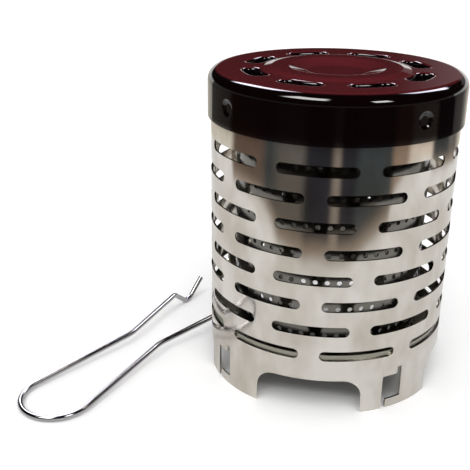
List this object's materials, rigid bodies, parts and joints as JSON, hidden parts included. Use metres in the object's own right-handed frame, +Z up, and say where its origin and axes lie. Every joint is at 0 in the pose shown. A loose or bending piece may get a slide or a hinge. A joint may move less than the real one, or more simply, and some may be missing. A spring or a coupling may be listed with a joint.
{
  "type": "tent heater",
  "caption": "Tent heater that stands on a camping stove: slotted steel tube with arched foot, perforated inner tube, vented enamelled lid and a loose wire lifting handle.",
  "frame": {"origin": "on the tube's axis, level with the undersides of the feet", "axes": "+Z up along the tube's axis, -Y towards the front arch, +X to the right seen from the front"},
  "size_m": [0.1271, 0.1008, 0.0982],
  "materials": {
    "outer_steel": "polished",
    "inner_steel": "satin",
    "ring_steel": "satin",
    "cap_enamel": "gloss",
    "handle_chrome": "polished"
  },
  "bodies": {
    "heater": {"outer_tube": "outer_steel", "inner_tube": "inner_steel", "base_ring": "ring_steel", "top_ring": "ring_steel", "cap": "cap_enamel"},
    "handle": {"handle": "handle_chrome"}
  },
  "joints": [
    {"name": "handle_lift", "type": "slide", "parent": "heater", "child": "handle", "axis": [0, 0, 1], "range_m": [0, 0.05]}
  ]
}
